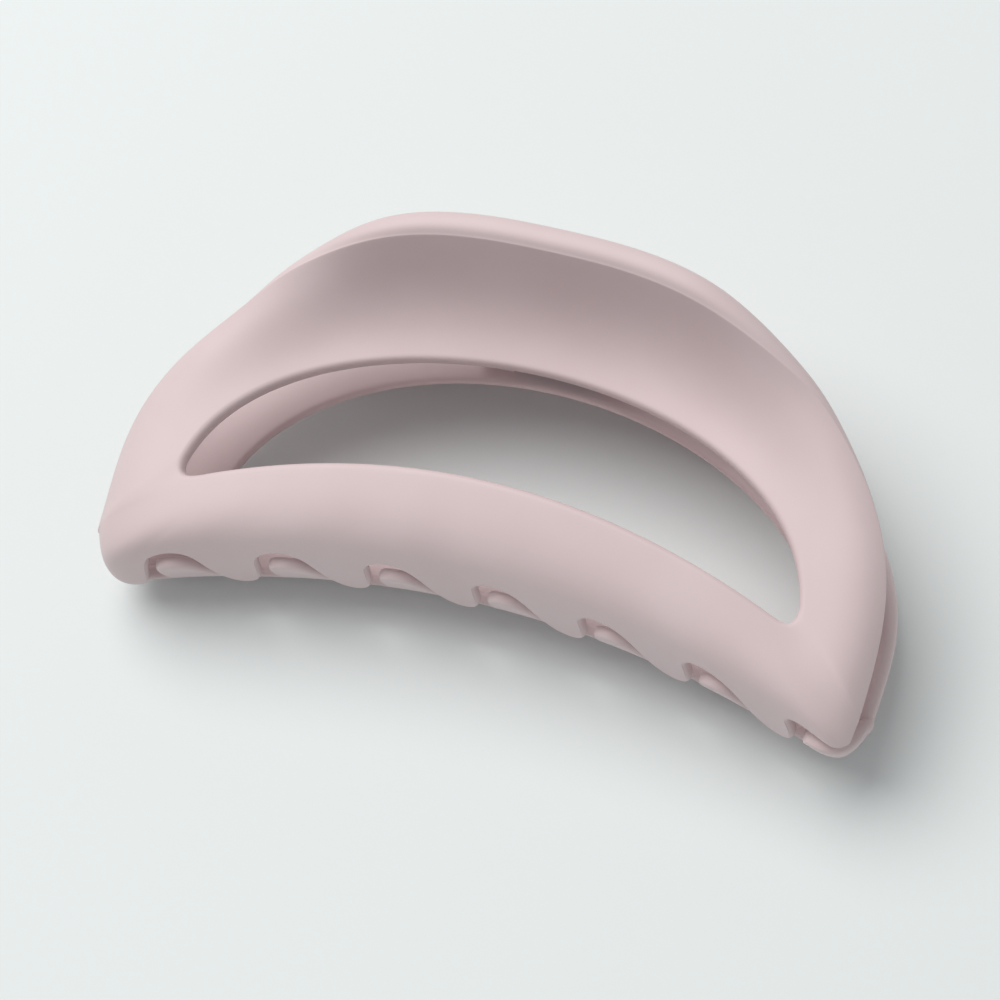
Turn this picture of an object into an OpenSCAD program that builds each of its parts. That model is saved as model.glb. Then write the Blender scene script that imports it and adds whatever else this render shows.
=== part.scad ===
// Large half-moon claw clip for hair, lying on its back jaw.
// Two jaws of moulded plastic turn on a steel pin, and a coil spring holds them shut.
// The origin is under the middle of the clip: X runs along the row of teeth,
// Y from the teeth to the thumb lips, and Z up from the surface it lies on.

/* [Outline] */
// Half of the length of the clip
half_len = 61.9; // [60:0.1:64]
// Height of the half-moon, from its ends to the top of the lip
rim_h = 57.1; // [55:0.1:59]
// Y of the ends of the rim
rim_y = -3.3; // [-3.9:0.1:-2.8]
// Roundness of the half-moon, where 2 is an ellipse
rim_power = 2.41; // [2.2:0.01:2.6]
// How far the row of teeth bows away from a straight line at its ends
tooth_bow = 11.7; // [11.4:0.1:14]

/* [Opening] */
// Half of the length of the opening
open_x = 49.3; // [47:0.1:51]
// Y of the corners of the opening
open_y = 6.2; // [4:0.1:7]
// Rise of the opening's upper edge
open_top = 30.4; // [28:0.1:32]
// Rise of the opening's lower edge
open_bottom = 10; // [8:0.1:11]
// Rounding of the opening's corners
open_corner = 3; // [2:0.1:4]

/* [Shell] */
// Wall of a jaw
wall = 2.6; // [2.2:0.1:2.8]
// Wall at the tips of the teeth
tooth_wall = 2; // [1.6:0.1:2.2]
// Extra thickness of the rolled lip
lip_bead = 1.8; // [1:0.1:2]
// Height of the rim above the middle plane at the ends of the jaw
end_z = 4.2; // [3.6:0.1:4.6]
// Height of the lip above the middle plane
lip_z = 22.3; // [20:0.1:24]
// Half of the length of the lip
lip_x = 44.4; // [40:0.1:45]
// Height of the opening's corners above the middle plane
corner_z = 11; // [9:0.1:12]
// Height of the neck above the middle plane
neck_z = 5.7; // [5.5:0.1:6.2]
// Height of the belly above the middle plane
belly_z = 15.3; // [13:0.1:17]

/* [Teeth] */
// Distance from one tooth to the next
pitch = 17.35; // [17.3:0.01:17.4]

/* [Hinge] */
// Y of the hinge pin
hinge_y = 40.5; // [40:0.1:41]
// Diameter of the pin
pin_d = 2; // [1.8:0.1:2.2]
// Radial clearance of the pin in the turning knuckles
pin_play = 0.05; // [0.03:0.01:0.08]
// Half of the length of the pin
pin_half = 13.4; // [13.2:0.1:14]
// Outer radius of a knuckle
knuckle_r = 2.6; // [2.4:0.1:2.7]
// Width of a knuckle
knuckle_w = 3; // [2.6:0.1:3.2]

/* [Spring] */
// Diameter of the spring wire
wire_d = 0.9; // [0.8:0.05:1]
// Radius of the coil at the middle of the wire
coil_r = 2.05; // [1.9:0.05:2.1]
// Turns of the coil
coil_turns = 9; // [6:1:11]

/* [Hidden] */

// Steps of the meshes
top_steps = 46;
side_steps = 3;
rows = [0, 0.12, 0.25, 0.39, 0.53, 0.66, 0.77, 0.88, 1];

// Rounded edges: the distance in from the edge and the depth, as parts of the wall
round_edge = [[0.25, 0.06], [0.06, 0.25], [0, 0.5], [0.06, 0.75], [0.25, 0.94]];
soft_edge = [[0.62, 0.02], [0.25, 0.16], [0.05, 0.42], [0, 0.7], [0.1, 1]];

// Outline of one tooth: along the row from its valley, height above the
// middle plane, and the place along the row that the mesh reaches it from
tooth = [
  [0, 5.4, 0.2], [1, 6.2, 1.2], [2.6, 6.6, 2.5], [4.4, 6.2, 4], [6, 5.1, 5.3], [7.4, 3.2, 6.5],
  [8.6, 0.7, 7.5], [9.8, -1.8, 8.5], [11.2, -3.7, 9.5], [12.9, -4.6, 10.5], [14.5, -4.5, 11.5], [15.6, -3.7, 12.4],
  [16.3, -2.3, 13.1], [16.5, -0.3, 13.8], [16.5, 2, 14.6], [16.5, 4.1, 15.5]
];
// The rounded lobe at one end of the row, and the valley at the other, from the middle
lobe = [
  [-61.2, -1.4, -60.2], [-60, -3, -58.8], [-58.2, -4, -57.5], [-56.2, -4.4, -56.4], [-54.3, -4.2, -55.4],
  [-53.6, -3.4, -54.9], [-53.1, -2, -54.3], [-52.9, 0, -53.8], [-52.9, 2.2, -53.3], [-52.8, 4.3, -52.7]
];
valley = [
  [52.1, 5.4, 52.2], [53.1, 6.1, 53.2], [54.6, 6.4, 54.6], [56.5, 6, 56.5], [58.3, 5.4, 58.3], [60.1, 4.8, 60.1]
];
notch_x = 3 * pitch;
lobe_round = 6.5;
lobe_drop = 4;
end_round = 2.5;

function mix(a, b, t) = a + (b - a) * t;
function unit(v) = v / norm(v);
function power(v, e) = sign(v) * pow(abs(v), e);
function ease(t) = let (s = min(max(t, 0), 1)) s * s * (3 - 2 * s);
function bow(x) = pow(x / half_len, 2);

// Rim of the jaw, with the lip in the middle of it
swell = [[168, 12, 1.3], [140, 14, -1.4], [17, 14, 0.8]];
function rim_swell(a) = [for (p = swell) p[2] * exp(-pow((a - p[0]) / p[1], 2))] * [1, 1, 1];
function lip_share(x) = 1 / (1 + pow(abs(x) / lip_x, 5.8));
function rim(a) =
  let (x = half_len * power(cos(a), 2 / rim_power), y = rim_y + rim_h * power(sin(a), 2 / rim_power))
  [x, y, end_z - lobe_drop * ease((a - 150) / 30) + (lip_z - end_z) * lip_share(x)];

// Edges of the opening
function open_upper(a) =
  let (x = open_x * cos(a))
  [x, open_y + open_top * sin(a), mix(neck_z, corner_z, pow(x / open_x, 2))];
function open_lower(x) =
  let (s = 1 - pow(x / open_x, 2))
  [x, open_y + open_bottom * s, mix(corner_z, belly_z, s)];
corner_a = asin(open_corner / open_top);

// Middle line of the row of teeth, with the rounded corners at its ends
function corner_lift(x) =
  let (r = x < 0 ? lobe_round : end_round, d = max(0, abs(x) - half_len + r))
  r - sqrt(max(0, r * r - d * d));
function tooth_line(x) = [x, corner_lift(x) + 1 - tooth_bow * bow(x), 0];

// Cross-sections of the jaw's outer face as Bezier curves, from the opening to the edge
function upper_section(t) =
  let (
    p0 = open_upper(mix(corner_a, 180 - corner_a, t)),
    edge = rim(180 * t),
    h = unit([edge.x - p0.x, edge.y - p0.y, 0]),
    slope = mix(-80, 78, lip_share(edge.x)),
    p3 = edge - h * (wall + lip_bead * lip_share(edge.x)) * max(0, sin(slope)) * 0.58
      + h * rim_swell(180 * t),
    d = p3 - p0
  )
  [p0, p0 + h * norm(d) * 0.45, p3 - (h * cos(slope) + [0, 0, sin(slope)]) * norm(d) * 0.42, p3];
function lower_section(t) =
  let (
    p0 = open_lower(mix(-1, 1, t) * (open_x - open_corner)),
    p3 = tooth_line(mix(-1, 1, t) * half_len)
  )
  [
    p0,
    [mix(p0.x, p3.x, 0.4), mix(p0.y, p3.y, 0.68), p0.z * 0.945],
    [p3.x, p3.y + 1.2, p0.z * 0.85],
    p3
  ];
function side_section(a, b, corner, t) =
  let (
    line = mix(a[0], b[0], t),
    curve = mix(mix(a[0], corner, t), mix(corner, b[0], t), t)
  )
  [curve, mix(a[1], b[1], t) + (curve - line) * 0.5, mix(a[2], b[2], t), mix(a[3], b[3], t)];

// The sections follow each other round the opening: upper edge, left end, teeth, right end
function section(u) =
  u < 1 ? upper_section(u) :
  u < 2 ? side_section(upper_section(1), lower_section(0), open_lower(-open_x), u - 1) :
  u <= 3 ? lower_section(u - 2) :
  side_section(lower_section(1), upper_section(0), open_lower(open_x), u - 3);
function on_section(s, w) =
  w > 1 ? s[3] + [0, 3 * (s[3].y - s[2].y) * (w - 1), -3 * s[2].z * (w - 1)] :
  let (v = 1 - w)
  s[0] * v * v * v + s[1] * 3 * v * v * w + s[2] * 3 * v * w * w + s[3] * w * w * w;

// Where a height above the middle plane lies along a section of the row of teeth
function reach(s, z) = 1 - z / ((z > 0 ? 2.45 : 3) * s[2].z);
function tooth_column(p) =
  let (u = 2.5 + p.x / half_len / 2)
  [2.5 + p[2] / half_len / 2, u, reach(section(u), p[1])];

// Columns of the mesh: where each starts at the opening, where it ends, and how far it reaches
columns = concat(
  [for (i = [0 : top_steps - 1]) let (t = i / top_steps, u = t - 0.08 * sin(360 * t)) [u, u, 1]],
  [for (i = [0 : side_steps - 1]) let (u = 1 + i / side_steps) [u, u, 1]],
  [[2, 2, 1]],
  [for (p = lobe) tooth_column(p)],
  [for (k = [0 : 5], p = tooth) tooth_column([p.x + k * pitch - notch_x, p[1], p[2] + k * pitch - notch_x])],
  [for (p = valley) tooth_column(p)],
  let (w = reach(lower_section(1), 4.2))
  [for (i = [0 : side_steps - 1]) let (t = i / side_steps) [3 + t, 3 + t, mix(w, 1, t)]]
);
count = len(columns);

// Points of the outer face
face = [
  for (c = columns) [
    for (f = rows) let (u = mix(c[0], c[1], max(0, (f - 0.53) / 0.47)))
      on_section(section(u), f * c[2])
  ]
];
last = len(rows) - 1;
function around(i, j) = face[(i + 1) % count][j] - face[(i + count - 1) % count][j];
function along(i, j) = face[i][min(j + 1, last)] - face[i][max(j - 1, 0)];
function normal(i, j) = unit(cross(along(i, j), around(i, j)));
function outward(i, j) = unit(cross(around(i, j), normal(i, j)));

// The wall is thicker at the lip and thinner at the teeth
function wall_at(i, j) =
  let (u = columns[i][1], f = rows[j])
  u < 1 ? wall + lip_bead * lip_share(face[i][last].x) * f * f :
  u > 2 && u < 3 ? mix(wall, tooth_wall, f * f) : wall;

// One closed ring of points round the wall for each column
function ring(i) =
  let (t0 = wall_at(i, 0), t1 = wall_at(i, last), big = columns[i][1] < 1 ? 1 : 0.7)
  concat(
    [for (j = [1 : last - 1]) face[i][j]],
    [for (p = round_edge) face[i][last] - outward(i, last) * t1 * p.x * big - normal(i, last) * t1 * p.y],
    [for (j = [last - 1 : -1 : 1]) face[i][j] - normal(i, j) * wall_at(i, j)],
    [for (k = [4 : -1 : 0]) let (p = soft_edge[k])
      face[i][0] + outward(i, 0) * t0 * p.x - normal(i, 0) * t0 * p.y]
  );
jaw_points = [for (i = [0 : count - 1], p = ring(i)) p];
ring_size = 2 * (last - 1) + 10;
jaw_faces = [
  for (i = [0 : count - 1], j = [0 : ring_size - 1])
    let (
      a = i * ring_size + j,
      b = i * ring_size + (j + 1) % ring_size,
      c = ((i + 1) % count) * ring_size + (j + 1) % ring_size,
      d = ((i + 1) % count) * ring_size + j
    )
    each [[a, d, b], [d, c, b]]
];

// The clip lies on the lip and the belly of its back jaw
back_points = [for (p = jaw_points) [-p.x, p.y, -p.z]];
function lowest(pts) = let (z = min([for (p = pts) p.z])) [for (p = pts) if (p.z == z) p][0];
function tilted(p, a) = [p.x, p.y * cos(a) - p.z * sin(a), p.y * sin(a) + p.z * cos(a)];
lip_low = lowest(back_points);
rest_tilt = min([for (p = back_points) if (p.y < hinge_y - 5) atan2(p.z - lip_low.z, lip_low.y - p.y)]);
resting = [for (p = concat(jaw_points, back_points)) tilted(p, rest_tilt)];
rest_y = (min([for (p = resting) p.y]) + max([for (p = resting) p.y])) / 2;
rest_z = min([for (p = resting) p.z]);
hinge_at = tilted([0, hinge_y, 0], rest_tilt) - [0, rest_y, rest_z];
echo(rest_tilt = rest_tilt, rest_y = rest_y, rest_z = rest_z, hinge_at = hinge_at, columns = count);

module at_rest() {
  translate([0, -rest_y, -rest_z]) rotate([rest_tilt, 0, 0]) children();
}

// One jaw: the shell and its two knuckles, with the bores for the pin
knuckle_x = [-13, 6.8];
web_top = 4.3;
module jaw(bore_r) {
  difference() {
    union() {
      polyhedron(points = jaw_points, faces = jaw_faces, convexity = 10);
      for (x = knuckle_x) translate([x, hinge_y, 0]) {
        rotate([0, 90, 0]) cylinder(r = knuckle_r, h = knuckle_w, $fn = 48);
        translate([0, -knuckle_r + 0.4, 0]) cube([knuckle_w, 2 * knuckle_r - 0.8, web_top]);
      }
    }
    translate([-20, hinge_y, 0]) rotate([0, 90, 0]) cylinder(r = bore_r, h = 40, $fn = 48);
  }
}

module front_jaw() {
  color([0.83, 0.73, 0.73]) at_rest() jaw(pin_d / 2 + pin_play);
}

module back_jaw() {
  color([0.83, 0.73, 0.73]) at_rest() rotate([0, 180, 0]) jaw(pin_d / 2);
}

module hinge_pin() {
  color([0.75, 0.75, 0.77]) at_rest() translate([-pin_half, hinge_y, 0])
    rotate([0, 90, 0]) cylinder(d = pin_d, h = 2 * pin_half, $fn = 48);
}

// Coil round the pin with a leg to the inside of each lip
coil_half = 5.9;
coil_steps = 16;
leg = [[9.6, 5.3], [8.4, 3.9], [7, 2.9], [5.4, 2.3], [3.6, 2.1], [1.8, 2.05]];
coil_path = [
  for (i = [0 : (coil_turns + 0.5) * coil_steps])
    let (a = 90 + 360 * i / coil_steps, x = mix(-coil_half, coil_half, i / ((coil_turns + 0.5) * coil_steps)))
    [x, hinge_y + coil_r * cos(a), coil_r * sin(a)]
];
spring_path = concat(
  [for (p = leg) [-coil_half, hinge_y + p.x, p.y]],
  coil_path,
  [for (i = [len(leg) - 1 : -1 : 0]) [coil_half, hinge_y + leg[i].x, -leg[i].y]]
);

module tube(path, r, sides) {
  n = len(path);
  ring = [
    for (i = [0 : n - 1])
      let (t = unit(path[min(i + 1, n - 1)] - path[max(i - 1, 0)]), u = unit(cross(t, [1, 0, 0])), v = cross(t, u))
      for (k = [0 : sides - 1]) path[i] + (u * cos(360 * k / sides) + v * sin(360 * k / sides)) * r
  ];
  walls = [
    for (i = [0 : n - 2], k = [0 : sides - 1])
      let (a = i * sides + k, b = i * sides + (k + 1) % sides)
      each [[a, a + sides, b], [b, a + sides, b + sides]]
  ];
  caps = [[for (k = [0 : sides - 1]) k], [for (k = [sides - 1 : -1 : 0]) (n - 1) * sides + k]];
  polyhedron(points = ring, faces = concat(walls, caps), convexity = 10);
}

module torsion_spring() {
  color([0.7, 0.7, 0.72]) at_rest() tube(spring_path, wire_d / 2, 8);
}

back_jaw();
front_jaw();
hinge_pin();
torsion_spring();
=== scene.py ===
import math

import bpy
import bmesh
import numpy as np
from mathutils import Matrix, Vector


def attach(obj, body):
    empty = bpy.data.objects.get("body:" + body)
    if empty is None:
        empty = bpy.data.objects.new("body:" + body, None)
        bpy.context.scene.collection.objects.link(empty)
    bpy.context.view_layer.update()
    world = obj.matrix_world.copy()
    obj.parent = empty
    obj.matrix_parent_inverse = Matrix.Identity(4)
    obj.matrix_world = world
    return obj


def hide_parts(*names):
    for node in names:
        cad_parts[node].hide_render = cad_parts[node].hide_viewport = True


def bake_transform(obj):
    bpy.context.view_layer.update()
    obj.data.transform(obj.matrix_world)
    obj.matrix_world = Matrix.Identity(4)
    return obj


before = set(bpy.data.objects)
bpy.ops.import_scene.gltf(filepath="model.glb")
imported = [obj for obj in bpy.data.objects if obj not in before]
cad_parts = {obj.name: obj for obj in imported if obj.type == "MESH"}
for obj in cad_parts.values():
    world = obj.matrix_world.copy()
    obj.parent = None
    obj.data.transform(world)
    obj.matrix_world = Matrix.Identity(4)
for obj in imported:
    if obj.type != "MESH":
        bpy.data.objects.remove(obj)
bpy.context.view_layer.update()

# ---------------------------------------------------------------- the two jaws
# The front and back jaws are one injection-moulded part used twice, the back one
# turned over. Each is a curved shell of ABS with a crescent opening, a rolled thumb
# lip along the top, a row of leaning teeth along the bottom, and two hinge knuckles.

MM = 0.001
HALF_LENGTH = 61.9
RIM_HEIGHT, RIM_START, RIM_ROUNDNESS = 57.1, -3.3, 2.41
RIM_SWELLS = ((168, 12, 1.3), (140, 14, -1.4), (17, 14, 0.8))
OPENING_HALF, OPENING_START, OPENING_RISE = 49.3, 6.2, 30.4
OPENING_SAG, OPENING_CORNER = 10.0, 3.0
WALL, TOOTH_WALL, LIP_BEAD = 2.6, 2.0, 1.8
END_Z, LIP_Z, LIP_HALF, LIP_SHOULDER = 4.2, 22.3, 44.4, 5.8
CORNER_Z, NECK_Z, BELLY_Z = 11.0, 5.7, 15.3
ROW_BOW, LOBE_ROUNDING, END_ROUNDING, LOBE_DROP = 11.7, 6.5, 2.5, 4.0
TOOTH_PITCH = 17.35
FIRST_NOTCH = -3 * TOOTH_PITCH
HINGE_Y = 40.5
REST_TILT = 9.53429
REST_SHIFT = (0.0, -24.078, 12.8952)

# The upper section leaves the opening and meets the rim at these slopes, in degrees, at
# the neck and at the lip; the lip's bead sets the edge back, and the pulls bend the curve.
NECK_SLOPE, LIP_SLOPE, LIP_SETBACK = -80, 78, 0.58
START_PULL, END_PULL = 0.45, 0.42
LOBE_DROP_FROM = 150
# The lower section's two inner curve points: where the belly is fullest, and above the teeth.
BELLY_ACROSS, BELLY_DOWN, BELLY_DEPTH = 0.4, 0.68, 0.945
ROOT_RISE, ROOT_DEPTH = 1.2, 0.85
# A tooth's height above or below the parting plane as a share of the section's depth.
REACH_ABOVE, REACH_BELOW = 2.45, 3
END_HEIGHT = 4.2
# Columns crowd towards the ends of the rim, and lean over to the teeth from this row down.
CROWDING, LEAN_FROM = 0.08, 0.53
SIDE_SPREAD = 0.7
SHARP_ANGLE = 38

# One tooth's edge from its valley to its steep side: along the row, height above
# the parting plane, and where along the row the wall comes down from.
TOOTH_EDGE = (
    (0, 5.4, 0.2), (1, 6.2, 1.2), (2.6, 6.6, 2.5), (4.4, 6.2, 4), (6, 5.1, 5.3), (7.4, 3.2, 6.5),
    (8.6, 0.7, 7.5), (9.8, -1.8, 8.5), (11.2, -3.7, 9.5), (12.9, -4.6, 10.5), (14.5, -4.5, 11.5),
    (15.6, -3.7, 12.4), (16.3, -2.3, 13.1), (16.5, -0.3, 13.8), (16.5, 2, 14.6), (16.5, 4.1, 15.5),
)
LOBE_EDGE = (
    (-61.2, -1.4, -60.2), (-60, -3, -58.8), (-58.2, -4, -57.5), (-56.2, -4.4, -56.4), (-54.3, -4.2, -55.4),
    (-53.6, -3.4, -54.9), (-53.1, -2, -54.3), (-52.9, 0, -53.8), (-52.9, 2.2, -53.3), (-52.8, 4.3, -52.7),
)
END_EDGE = (
    (52.1, 5.4, 52.2), (53.1, 6.1, 53.2), (54.6, 6.4, 54.6), (56.5, 6, 56.5),
    (58.3, 5.4, 58.3), (60.1, 4.8, 60.1),
)
TOP_COLUMNS, SIDE_COLUMNS, TEETH = 64, 5, 6
WALL_ROWS = (0, 0.06, 0.15, 0.26, 0.39, 0.53, 0.66, 0.77, 0.88, 0.96, 1)
# The rounding of the wall's edges, as shares of its thickness: set back, and depth through it.
FREE_EDGE = ((0.30, 0.03), (0.08, 0.16), (0, 0.38), (0, 0.62), (0.08, 0.84), (0.30, 0.97))
OPENING_EDGE = ((0.33, 0.01), (0.19, 0.06), (0.08, 0.18), (0.01, 0.38), (0, 0.7), (0.1, 1))


def mix(a, b, t):
    return a + (b - a) * t


def unit(v):
    return v / np.linalg.norm(v)


def vec(*v):
    return np.array(v, float)


def cosd(a):
    return math.cos(math.radians(a))


def sind(a):
    return math.sin(math.radians(a))


def signed_power(v, e):
    return math.copysign(abs(v) ** e, v)


def ease(t):
    s = min(max(t, 0.0), 1.0)
    return s * s * (3 - 2 * s)


def lip_share(x):
    """How much of the thumb lip there is at x, from 1 in the middle to 0 at the ends."""
    return 1 / (1 + (abs(x) / LIP_HALF) ** LIP_SHOULDER)


def rim_point(a):
    """The rim at an angle from 0, the right end, to 180, the lobe at the left."""
    e = 2 / RIM_ROUNDNESS
    x = HALF_LENGTH * signed_power(cosd(a), e)
    y = RIM_START + RIM_HEIGHT * signed_power(sind(a), e)
    drop = LOBE_DROP * ease((a - LOBE_DROP_FROM) / (180 - LOBE_DROP_FROM))
    return vec(x, y, END_Z - drop + (LIP_Z - END_Z) * lip_share(x))


def opening_top(a):
    x = OPENING_HALF * cosd(a)
    return vec(x, OPENING_START + OPENING_RISE * sind(a), mix(NECK_Z, CORNER_Z, (x / OPENING_HALF) ** 2))


def opening_bottom(x):
    s = 1 - (x / OPENING_HALF) ** 2
    return vec(x, OPENING_START + OPENING_SAG * s, mix(CORNER_Z, BELLY_Z, s))


def tooth_row(x):
    """The line that the teeth stand on, rounded up at both ends."""
    r = LOBE_ROUNDING if x < 0 else END_ROUNDING
    d = max(0.0, abs(x) - HALF_LENGTH + r)
    lift = r - math.sqrt(max(0.0, r * r - d * d))
    return vec(x, lift + 1 - ROW_BOW * (x / HALF_LENGTH) ** 2, 0)


def upper_section(t):
    """The wall's section from the opening to the rim, as the four points of a Bezier curve."""
    corner = math.degrees(math.asin(OPENING_CORNER / OPENING_RISE))
    start, edge = opening_top(mix(corner, 180 - corner, t)), rim_point(180 * t)
    out = unit(vec(edge[0] - start[0], edge[1] - start[1], 0))
    share = lip_share(edge[0])
    slope = mix(NECK_SLOPE, LIP_SLOPE, share)
    swell = sum(h * math.exp(-(((180 * t - a) / w) ** 2)) for a, w, h in RIM_SWELLS)
    setback = (WALL + LIP_BEAD * share) * max(0, sind(slope)) * LIP_SETBACK
    end = edge - out * setback + out * swell
    reach = np.linalg.norm(end - start)
    into_end = out * cosd(slope) + vec(0, 0, sind(slope))
    return start, start + out * reach * START_PULL, end - into_end * reach * END_PULL, end


def lower_section(t):
    """The section from the opening over the belly to the tooth row."""
    start = opening_bottom(mix(-1, 1, t) * (OPENING_HALF - OPENING_CORNER))
    end = tooth_row(mix(-1, 1, t) * HALF_LENGTH)
    belly = vec(
        mix(start[0], end[0], BELLY_ACROSS), mix(start[1], end[1], BELLY_DOWN), start[2] * BELLY_DEPTH
    )
    return start, belly, vec(end[0], end[1] + ROOT_RISE, start[2] * ROOT_DEPTH), end


def side_section(a, b, corner, t):
    """Turns section a into section b round a corner of the opening."""
    line = mix(a[0], b[0], t)
    curve = mix(mix(a[0], corner, t), mix(corner, b[0], t), t)
    return curve, mix(a[1], b[1], t) + (curve - line) * 0.5, mix(a[2], b[2], t), mix(a[3], b[3], t)


def section(u):
    """The section at u, once round the jaw: top 0 to 1, left side 2, teeth 3, right side 4."""
    if u < 1:
        return upper_section(u)
    if u < 2:
        return side_section(upper_section(1), lower_section(0), opening_bottom(-OPENING_HALF), u - 1)
    if u <= 3:
        return lower_section(u - 2)
    return side_section(lower_section(1), upper_section(0), opening_bottom(OPENING_HALF), u - 3)


def along_section(s, w):
    """The point at w down a section; past 1 it goes straight on, for a tooth's tip."""
    if w > 1:
        return s[3] + (w - 1) * 3 * vec(0, s[3][1] - s[2][1], -s[2][2])
    v = 1 - w
    return s[0] * v**3 + s[1] * 3 * v * v * w + s[2] * 3 * v * w * w + s[3] * w**3


def reach_of(s, z):
    return 1 - z / ((REACH_ABOVE if z > 0 else REACH_BELOW) * s[2][2])


def edge_column(x, z, base_x):
    """A column of the tooth row: u at its root, u at its tip, and how far down it goes."""
    u = 2.5 + x / HALF_LENGTH / 2
    return 2.5 + base_x / HALF_LENGTH / 2, u, reach_of(section(u), z)


def jaw_columns():
    columns = []
    for i in range(TOP_COLUMNS):
        t = i / TOP_COLUMNS
        u = t - CROWDING * math.sin(2 * math.pi * t)
        columns.append((u, u, 1))
    columns += [(1 + i / SIDE_COLUMNS, 1 + i / SIDE_COLUMNS, 1) for i in range(SIDE_COLUMNS)]
    columns.append((2, 2, 1))
    columns += [edge_column(*p) for p in LOBE_EDGE]
    for k in range(TEETH):
        at = FIRST_NOTCH + k * TOOTH_PITCH
        columns += [edge_column(x + at, z, b + at) for x, z, b in TOOTH_EDGE]
    columns += [edge_column(*p) for p in END_EDGE]
    last = reach_of(lower_section(1), END_HEIGHT)
    for i in range(SIDE_COLUMNS):
        u = 3 + i / SIDE_COLUMNS
        columns.append((u, u, mix(last, 1, i / SIDE_COLUMNS)))
    return columns


def jaw_rings():
    """A closed ring of points round the wall at each column, in the clip's own millimetres."""
    columns = jaw_columns()
    end = len(WALL_ROWS) - 1
    leans = [max(0, (f - LEAN_FROM) / (1 - LEAN_FROM)) for f in WALL_ROWS]
    face = np.array([
        [along_section(section(mix(root, tip, lean)), f * reach) for f, lean in zip(WALL_ROWS, leans)]
        for root, tip, reach in columns
    ])
    around = np.roll(face, -1, 0) - np.roll(face, 1, 0)
    rows = np.arange(end + 1)
    along = face[:, np.minimum(rows + 1, end)] - face[:, np.maximum(rows - 1, 0)]
    normal = np.cross(along, around)
    normal /= np.linalg.norm(normal, axis=2, keepdims=True)
    outward = np.cross(around, normal)
    outward /= np.linalg.norm(outward, axis=2, keepdims=True)
    rings = []
    for i, (_, u, _) in enumerate(columns):
        share = lip_share(face[i][end][0])
        if u < 1:
            thick = [WALL + LIP_BEAD * share * f * f for f in WALL_ROWS]
        elif 2 < u < 3:
            thick = [mix(WALL, TOOTH_WALL, f * f) for f in WALL_ROWS]
        else:
            thick = [WALL] * len(WALL_ROWS)
        spread = 1 if u < 1 else SIDE_SPREAD
        back, down = outward[i] * np.array(thick)[:, None], normal[i] * np.array(thick)[:, None]
        ring = [face[i][j] for j in range(1, end)]
        ring += [face[i][end] - back[end] * d * spread - down[end] * h for d, h in FREE_EDGE]
        ring += [face[i][j] - down[j] for j in range(end - 1, 0, -1)]
        ring += [face[i][0] + back[0] * d - down[0] * h for d, h in reversed(OPENING_EDGE)]
        rings.append(ring)
    rings = np.array(rings)
    # The columns where the left side meets the lobe are averaged with their neighbours, so
    # that the two run together without a pinch.
    corner = TOP_COLUMNS + SIDE_COLUMNS
    near = slice(corner - 1, corner + 2)
    rings[near] = (rings[near] * 2 + rings[corner - 2:corner + 1] + rings[corner:corner + 3]) / 4
    return rings


to_rest = (
    Matrix.Translation(Vector(REST_SHIFT) * MM)
    @ Matrix.Rotation(math.radians(REST_TILT), 4, "X")
    @ Matrix.Scale(MM, 4)
)
half_turn = Matrix.Rotation(math.pi, 4, "Y")


def new_object(name, mesh):
    piece = bpy.data.objects.new(name, mesh)
    bpy.context.scene.collection.objects.link(piece)
    return piece


def evaluated_mesh(piece):
    """The piece's mesh with its modifiers worked in; the piece itself is removed."""
    graph = bpy.context.evaluated_depsgraph_get()
    mesh = bpy.data.meshes.new_from_object(piece.evaluated_get(graph))
    bpy.data.objects.remove(piece)
    return mesh


def shell_mesh():
    """The jaw's shell without its knuckles, smoothed and with its faces outwards."""
    rings = jaw_rings()
    n, m = rings.shape[:2]
    quads = [
        (i * m + j, (i + 1) % n * m + j, (i + 1) % n * m + (j + 1) % m, i * m + (j + 1) % m)
        for i in range(n) for j in range(m)
    ]
    mesh = bpy.data.meshes.new("jaw_shell")
    mesh.from_pydata([tuple(p) for p in rings.reshape(-1, 3)], [], quads)
    shell = new_object("jaw_shell", mesh)
    smooth = shell.modifiers.new("smooth", "SUBSURF")
    smooth.levels = smooth.render_levels = 2
    mesh = evaluated_mesh(shell)
    bm = bmesh.new()
    bm.from_mesh(mesh)
    bmesh.ops.recalc_face_normals(bm, faces=bm.faces[:])
    bm.to_mesh(mesh)
    bm.free()
    return mesh


KNUCKLE_X, KNUCKLE_RADIUS, KNUCKLE_WIDTH, WEB_TOP = (-13.0, 6.8), 2.6, 3.0, 4.3
WEB_INSET, BOSS_STEPS, RIM_BEVEL = 0.4, 40, 0.3


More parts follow.
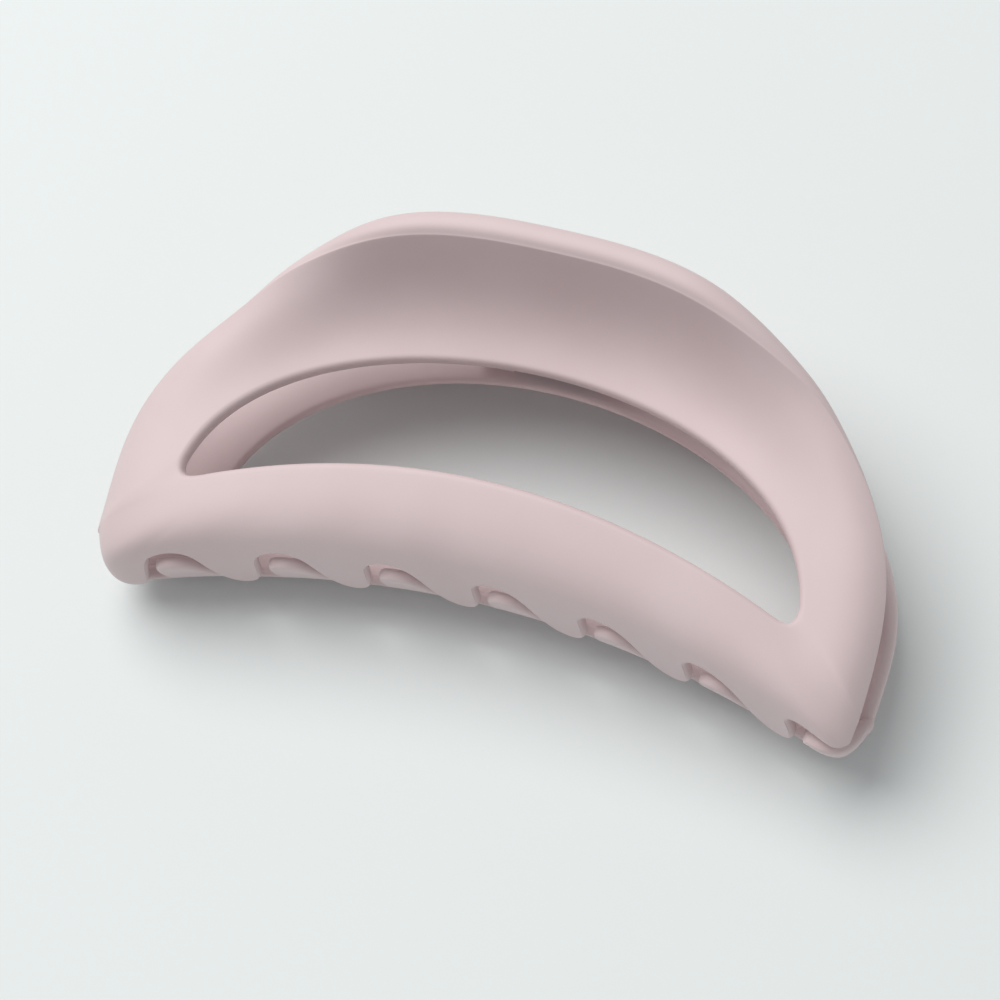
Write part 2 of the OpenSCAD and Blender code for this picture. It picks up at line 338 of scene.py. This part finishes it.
def knuckle_mesh():
    """Both knuckles: a round boss and the web that joins it to the shell, with softened rims."""
    bm = bmesh.new()
    half = KNUCKLE_RADIUS - WEB_INSET
    start = math.acos(half / KNUCKLE_RADIUS)
    outline = [
        (HINGE_Y + KNUCKLE_RADIUS * math.cos(a), KNUCKLE_RADIUS * math.sin(a))
        for a in (start - (math.pi + 2 * start) * i / BOSS_STEPS for i in range(BOSS_STEPS + 1))
    ]
    outline += [(HINGE_Y - half, WEB_TOP), (HINGE_Y + half, WEB_TOP)]
    for x in KNUCKLE_X:
        rings = [[bm.verts.new((x + dx, y, z)) for y, z in outline] for dx in (0, KNUCKLE_WIDTH)]
        count = len(outline)
        for i in range(count):
            bm.faces.new((rings[0][i], rings[0][(i + 1) % count], rings[1][(i + 1) % count], rings[1][i]))
        bm.faces.new(rings[0][::-1])
        bm.faces.new(rings[1])
    bmesh.ops.recalc_face_normals(bm, faces=bm.faces[:])
    rims = [e for e in bm.edges if abs(e.verts[0].co.x - e.verts[1].co.x) < 1e-6]
    bmesh.ops.bevel(bm, geom=rims, offset=RIM_BEVEL, segments=3, affect="EDGES", clamp_overlap=True)
    mesh = bpy.data.meshes.new("knuckles")
    bm.to_mesh(mesh)
    bm.free()
    return mesh


def drill_mesh(radius, half_length=20, sides=64):
    bm = bmesh.new()
    turn = Matrix.Translation((0, HINGE_Y, 0)) @ Matrix.Rotation(math.pi / 2, 4, "Y")
    bmesh.ops.create_cone(
        bm, cap_ends=True, segments=sides, radius1=radius, radius2=radius, depth=2 * half_length, matrix=turn
    )
    mesh = bpy.data.meshes.new("drill")
    bm.to_mesh(mesh)
    bm.free()
    return mesh


def jaw_mesh(bore_radius, shell):
    """A whole jaw: the shell with its knuckles, drilled through for the pin."""
    jaw = new_object("jaw", shell.copy())
    knuckles = new_object("knuckles", knuckle_mesh())
    drill = new_object("drill", drill_mesh(bore_radius))
    for tool, what in ((knuckles, "UNION"), (drill, "DIFFERENCE")):
        cut = jaw.modifiers.new(what.lower(), "BOOLEAN")
        cut.operation, cut.object, cut.solver = what, tool, "EXACT"
    mesh = evaluated_mesh(jaw)
    bpy.data.objects.remove(knuckles)
    bpy.data.objects.remove(drill)
    return mesh


def finish_piece(name, mesh, material, matrix):
    """Puts the mesh at its place, shades it smooth but for its real corners, and gives its finish."""
    mesh.transform(matrix)
    mesh.shade_smooth()
    mesh.set_sharp_from_angle(angle=math.radians(SHARP_ANGLE))
    mesh.materials.clear()
    mesh.materials.append(material)
    return new_object(name, mesh)


def linear(hex_colour):
    """An sRGB hex colour as linear RGBA."""
    rgb = [int(hex_colour[i:i + 2], 16) / 255 for i in (1, 3, 5)]
    return tuple(c / 12.92 if c <= 0.04045 else ((c + 0.055) / 1.055) ** 2.4 for c in rgb) + (1.0,)


def add_node(material, kind, settings=None, links=None):
    """Adds a node; settings are attributes or input values, and links take (node, output) pairs."""
    tree = material.node_tree
    node = tree.nodes.new(kind)
    for name, value in (settings or {}).items():
        if name in node.inputs:
            node.inputs[name].default_value = value
        else:
            setattr(node, name, value)
    for name, (source, output) in (links or {}).items():
        tree.links.new(source.outputs[output], node.inputs[name])
    return node


def new_material(name):
    material = bpy.data.materials.new(name)
    material.use_nodes = True
    material.node_tree.nodes.clear()
    return material


def set_ramp(node, stops):
    for element, (position, colour) in zip(node.color_ramp.elements, stops):
        element.position, element.color = position, colour


# ABS with a soft-touch lacquer: a broad dull sheen, a very fine orange-peel and hardly
# any change of colour, a little paler where the lacquer lies thicker.
soft_touch = new_material("soft_touch_lacquered_abs")
place = add_node(soft_touch, "ShaderNodeTexCoord")
clouds = add_node(
    soft_touch,
    "ShaderNodeTexNoise",
    {"Scale": 55.0, "Detail": 3.0, "Roughness": 0.5},
    {"Vector": (place, "Object")},
)
tint = add_node(soft_touch, "ShaderNodeValToRGB", None, {"Fac": (clouds, "Fac")})
set_ramp(tint, ((0.3, linear("#D8C3C4")), (0.7, linear("#DDC9CA"))))
# Orange-peel about 0.6 mm across; the real one is nearer 0.2 mm and would not show.
peel = add_node(
    soft_touch,
    "ShaderNodeTexNoise",
    {"Scale": 1600.0, "Detail": 2.0, "Roughness": 0.6},
    {"Vector": (place, "Object")},
)
peel_bump = add_node(
    soft_touch, "ShaderNodeBump", {"Strength": 0.09, "Distance": 0.00005}, {"Height": (peel, "Fac")}
)
dullness = add_node(
    soft_touch, "ShaderNodeMapRange", {"To Min": 0.5, "To Max": 0.58}, {"Value": (clouds, "Fac")}
)
lacquer = add_node(
    soft_touch,
    "ShaderNodeBsdfPrincipled",
    {"IOR": 1.5, "Specular IOR Level": 0.42, "Sheen Weight": 0.12, "Sheen Roughness": 0.5},
    {"Base Color": (tint, "Color"), "Roughness": (dullness, "Result"), "Normal": (peel_bump, "Normal")},
)
add_node(soft_touch, "ShaderNodeOutputMaterial", None, {"Surface": (lacquer, "BSDF")})

# The front knuckles turn freely on the pin; the back ones grip it, drawn with a hair's gap
# so that no two faces lie in one place.
PIN_RADIUS, BORE_PLAY, PRESS_PLAY = 1.0, 0.05, 0.01
shell = shell_mesh()
front_jaw = finish_piece(
    "front_jaw_shell", jaw_mesh(PIN_RADIUS + BORE_PLAY, shell), soft_touch, to_rest
)
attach(front_jaw, "front_half")
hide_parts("front_jaw")
back_jaw = finish_piece(
    "back_jaw_shell", jaw_mesh(PIN_RADIUS + PRESS_PLAY, shell), soft_touch, to_rest @ half_turn
)
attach(back_jaw, "back_half")
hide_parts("back_jaw")

# ---------------------------------------------------------------- hinge pin
# A 2 mm rod of ground steel, cut to length and rounded over at both ends. It is pressed
# into the back jaw's two knuckles, and the front jaw's knuckles turn on it.

PIN_HALF, PIN_ROUNDING = 13.4, 0.35
ground_steel = new_material("centreless_ground_steel")
place = add_node(ground_steel, "ShaderNodeTexCoord")
# Grinding marks run round the rod, about 0.15 mm apart along it.
lay = add_node(
    ground_steel, "ShaderNodeMapping", {"Scale": (7000.0, 600.0, 600.0)}, {"Vector": (place, "Object")}
)
marks = add_node(
    ground_steel, "ShaderNodeTexNoise", {"Scale": 1.0, "Detail": 2.0}, {"Vector": (lay, "Vector")}
)
grey = add_node(ground_steel, "ShaderNodeValToRGB", None, {"Fac": (marks, "Fac")})
set_ramp(grey, ((0.3, linear("#B9B8B6")), (0.7, linear("#CBCAC8"))))
wear = add_node(
    ground_steel, "ShaderNodeMapRange", {"To Min": 0.22, "To Max": 0.36}, {"Value": (marks, "Fac")}
)
mark_bump = add_node(
    ground_steel, "ShaderNodeBump", {"Strength": 0.2, "Distance": 0.00002}, {"Height": (marks, "Fac")}
)
steel = add_node(
    ground_steel,
    "ShaderNodeBsdfPrincipled",
    {"Metallic": 1.0},
    {"Base Color": (grey, "Color"), "Roughness": (wear, "Result"), "Normal": (mark_bump, "Normal")},
)
add_node(ground_steel, "ShaderNodeOutputMaterial", None, {"Surface": (steel, "BSDF")})

bm = bmesh.new()
pin_profile = [
    (PIN_HALF - PIN_ROUNDING + PIN_ROUNDING * sind(a), PIN_RADIUS - PIN_ROUNDING + PIN_ROUNDING * cosd(a))
    for a in range(0, 91, 15)
]
pin_profile = [(-x, r) for x, r in reversed(pin_profile)] + pin_profile
pin_rings = [
    [bm.verts.new((x, HINGE_Y + r * cosd(a), r * sind(a))) for a in range(0, 360, 6)] for x, r in pin_profile
]
for one, two in zip(pin_rings, pin_rings[1:]):
    for k in range(len(one)):
        bm.faces.new((one[k], one[(k + 1) % len(one)], two[(k + 1) % len(one)], two[k]))
bm.faces.new(pin_rings[0])
bm.faces.new(pin_rings[-1])
bmesh.ops.recalc_face_normals(bm, faces=bm.faces[:])
pin_mesh = bpy.data.meshes.new("hinge_pin_rod")
bm.to_mesh(pin_mesh)
bm.free()
pin = finish_piece("hinge_pin_rod", pin_mesh, ground_steel, to_rest)
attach(pin, "back_half")
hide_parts("hinge_pin")

# ---------------------------------------------------------------- torsion spring
# Zinc-plated spring wire 0.9 mm thick, wound nine and a half turns round the pin between
# the knuckles. One leg reaches up behind each lip to keep the jaws shut; as drawn, each
# ends about 2.7 mm short of it.

WIRE, WIRE_SIDES = 0.9, 14
COIL_RADIUS, COIL_HALF, TURNS, TURN_STEPS = 2.05, 5.9, 9.5, 32
LEG = ((9.6, 5.3), (8.4, 3.9), (7.0, 2.9), (5.4, 2.3), (3.6, 2.1), (1.8, 2.05))
coil_points = int(TURNS * TURN_STEPS)
wire_path = [(-COIL_HALF, HINGE_Y + y, z) for y, z in LEG]
for i in range(coil_points + 1):
    a = 90 + 360 * i / TURN_STEPS
    x = mix(-COIL_HALF, COIL_HALF, i / coil_points)
    wire_path.append((x, HINGE_Y + COIL_RADIUS * cosd(a), COIL_RADIUS * sind(a)))
wire_path += [(COIL_HALF, HINGE_Y + y, -z) for y, z in reversed(LEG)]

zinc_plate = new_material("bright_zinc_plated_wire")
place = add_node(zinc_plate, "ShaderNodeTexCoord")
# Plating bloom in patches about 1.5 mm across, with a faint drawn grain.
bloom = add_node(
    zinc_plate, "ShaderNodeTexNoise", {"Scale": 700.0, "Detail": 4.0}, {"Vector": (place, "Object")}
)
plate = add_node(zinc_plate, "ShaderNodeValToRGB", None, {"Fac": (bloom, "Fac")})
set_ramp(plate, ((0.3, linear("#A6AAB0")), (0.7, linear("#BEC1C5"))))
haze = add_node(
    zinc_plate, "ShaderNodeMapRange", {"To Min": 0.25, "To Max": 0.42}, {"Value": (bloom, "Fac")}
)
grain = add_node(
    zinc_plate, "ShaderNodeBump", {"Strength": 0.15, "Distance": 0.00002}, {"Height": (bloom, "Fac")}
)
plated = add_node(
    zinc_plate,
    "ShaderNodeBsdfPrincipled",
    {"Metallic": 1.0},
    {"Base Color": (plate, "Color"), "Roughness": (haze, "Result"), "Normal": (grain, "Normal")},
)
add_node(zinc_plate, "ShaderNodeOutputMaterial", None, {"Surface": (plated, "BSDF")})

path = bpy.data.curves.new("spring_path", "CURVE")
path.dimensions = "3D"
spline = path.splines.new("POLY")
spline.points.add(len(wire_path) - 1)
for point, place_at in zip(spline.points, wire_path):
    point.co = (*place_at, 1)
wire = new_object("spring_path", path)

wire_tree = bpy.data.node_groups.new("wound_wire", "GeometryNodeTree")
wire_tree.interface.new_socket("Geometry", in_out="INPUT", socket_type="NodeSocketGeometry")
wire_tree.interface.new_socket("Wire diameter", in_out="INPUT", socket_type="NodeSocketFloat")
wire_tree.interface.new_socket("Sides", in_out="INPUT", socket_type="NodeSocketInt")
wire_tree.interface.new_socket("Finish", in_out="INPUT", socket_type="NodeSocketMaterial")
wire_tree.interface.new_socket("Geometry", in_out="OUTPUT", socket_type="NodeSocketGeometry")
nodes, links = wire_tree.nodes, wire_tree.links
given, result = nodes.new("NodeGroupInput"), nodes.new("NodeGroupOutput")
halve, circle = nodes.new("ShaderNodeMath"), nodes.new("GeometryNodeCurvePrimitiveCircle")
halve.operation = "MULTIPLY"
halve.inputs[1].default_value = 0.5
sweep, whole = nodes.new("GeometryNodeCurveToMesh"), nodes.new("GeometryNodeRealizeInstances")
sweep.inputs["Fill Caps"].default_value = True
coat = nodes.new("GeometryNodeSetMaterial")
links.new(given.outputs["Wire diameter"], halve.inputs[0])
links.new(halve.outputs[0], circle.inputs["Radius"])
links.new(given.outputs["Sides"], circle.inputs["Resolution"])
links.new(given.outputs["Geometry"], sweep.inputs["Curve"])
links.new(circle.outputs["Curve"], sweep.inputs["Profile Curve"])
links.new(sweep.outputs["Mesh"], whole.inputs["Geometry"])
links.new(whole.outputs["Geometry"], coat.inputs["Geometry"])
links.new(given.outputs["Finish"], coat.inputs["Material"])
links.new(coat.outputs["Geometry"], result.inputs["Geometry"])
winding = wire.modifiers.new("wound_wire", "NODES")
winding.node_group = wire_tree
sockets = {
    item.name: item.identifier for item in wire_tree.interface.items_tree if item.in_out == "INPUT"
}
winding[sockets["Wire diameter"]] = WIRE
winding[sockets["Sides"]] = WIRE_SIDES
winding[sockets["Finish"]] = zinc_plate
spring = finish_piece("torsion_spring_wire", evaluated_mesh(wire), zinc_plate, to_rest)
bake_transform(spring)
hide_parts("torsion_spring")

# ---------------------------------------------------------------- the setting
# A pale smooth table and soft daylight from one broad window, with the table's own light
# coming back up under the clip.

table_top = new_material("pale_satin_table")
place = add_node(table_top, "ShaderNodeTexCoord")
drift = add_node(
    table_top, "ShaderNodeTexNoise", {"Scale": 3.0, "Detail": 1.0}, {"Vector": (place, "Object")}
)
pale = add_node(table_top, "ShaderNodeValToRGB", None, {"Fac": (drift, "Fac")})
set_ramp(pale, ((0.3, linear("#E5EAEA")), (0.7, linear("#E8EDED"))))
satin = add_node(
    table_top,
    "ShaderNodeBsdfPrincipled",
    {"Roughness": 0.7, "Specular IOR Level": 0.3},
    {"Base Color": (pale, "Color")},
)
add_node(table_top, "ShaderNodeOutputMaterial", None, {"Surface": (satin, "BSDF")})
bm = bmesh.new()
TABLE_HALF = 3.0
bmesh.ops.create_grid(bm, x_segments=8, y_segments=8, size=TABLE_HALF)
floor_mesh = bpy.data.meshes.new("table_top")
bm.to_mesh(floor_mesh)
bm.free()
floor_mesh.materials.append(table_top)
floor = new_object("table_top", floor_mesh)

camera_data = bpy.data.cameras.new("camera")
camera_data.sensor_width, camera_data.lens = 36.0, 136.23
camera_data.clip_start, camera_data.clip_end = 0.01, 20.0
camera = new_object("camera", camera_data)
camera.location = (0.1561445, -0.2219829, 0.5277383)
camera.rotation_euler = [math.radians(a) for a in (26.16911, 8.892056, 18.923594)]
bpy.context.scene.camera = camera

# One broad window, high and a little to the left, turned towards the clip.
WINDOW_AT, WINDOW_SIZE, WINDOW_POWER = (-0.48, 0.26, 1.1), 1.2, 12.6
window_light = bpy.data.lights.new("window", "AREA")
window_light.shape, window_light.size, window_light.energy = "DISK", WINDOW_SIZE, WINDOW_POWER
window_light.color = linear("#FFFEFC")[:3]
window = new_object("window", window_light)
window.location = WINDOW_AT
window.rotation_euler = (-Vector(WINDOW_AT)).to_track_quat("-Z", "Y").to_euler()
world = bpy.data.worlds.new("room")
bpy.context.scene.world = world
world.use_nodes = True
background = world.node_tree.nodes["Background"]
background.inputs["Color"].default_value = linear("#F4F7F8")
background.inputs["Strength"].default_value = 0.42
bpy.context.scene.view_settings.view_transform = "Standard"
